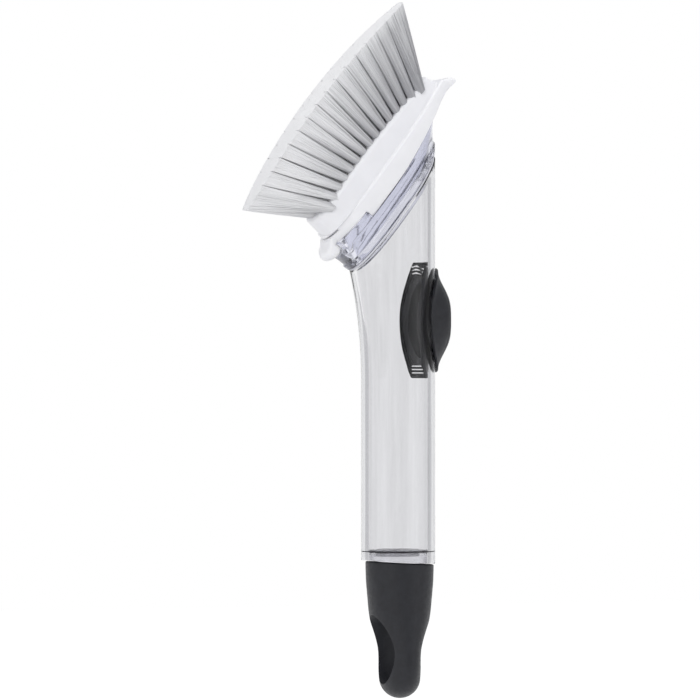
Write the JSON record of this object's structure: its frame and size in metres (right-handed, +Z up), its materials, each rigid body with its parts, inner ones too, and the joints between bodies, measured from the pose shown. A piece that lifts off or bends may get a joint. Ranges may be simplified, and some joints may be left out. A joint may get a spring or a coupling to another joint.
{
  "type": "soap-dispensing dish brush",
  "caption": "Dish brush with a clear liquid-filled tube handle, squeeze button, pull-out stopper with hanging hole, and clip-on refill head of fanned tufts.",
  "frame": {"origin": "centre of the hanging hole in the stopper's end", "axes": "+Z runs up the tube's axis to the head, +X points to the button's side and the tufts face -X; the brush is the same on both sides of Y = 0"},
  "size_m": [0.0853, 0.033, 0.2666],
  "materials": {
    "tube_plastic": "clear moulded plastic, polished",
    "carrier_plastic": "clear moulded plastic with a faint lilac tint",
    "core_plastic": "clear moulded plastic",
    "retainer_plastic": "white moulded plastic",
    "refill_plastic": "white moulded plastic, satin",
    "bristle_nylon": "light grey nylon filament",
    "grip_rubber": "charcoal soft-touch rubber",
    "button_rubber": "charcoal rubber, satin",
    "seal_rubber": "black rubber",
    "valve_rubber": "translucent silicone rubber"
  },
  "bodies": {
    "handle": {"handle_tube": "tube_plastic", "head_carrier": "carrier_plastic", "mouth_gasket": "seal_rubber", "dispensing_valve": "valve_rubber", "valve_retainer": "retainer_plastic", "button_rim": "button_rubber", "button_diaphragm": "button_rubber"},
    "button": {"button_pad": "button_rubber"},
    "cap": {"cap_core": "core_plastic", "cap_seal": "seal_rubber", "end_grip": "grip_rubber"},
    "refill": {"refill_plate": "refill_plastic", "bristle_row_1": "bristle_nylon", "bristle_row_2": "bristle_nylon", "bristle_row_3": "bristle_nylon", "bristle_row_4": "bristle_nylon", "bristle_row_5": "bristle_nylon", "bristle_row_6": "bristle_nylon"}
  },
  "joints": [
    {"name": "button_press", "type": "slide", "parent": "handle", "child": "button", "axis": [-1, 0, 0], "range_m": [0, 0.004], "stiffness_N_per_m": 1500, "deforming": ["button_diaphragm"]},
    {"name": "refill_lift", "type": "slide", "parent": "handle", "child": "refill", "axis": [-0.8028, 0, 0.5962], "range_m": [0, 0.02]},
    {"name": "cap_pull", "type": "slide", "parent": "handle", "child": "cap", "axis": [0, 0, -1], "range_m": [0, 0.03]}
  ]
}
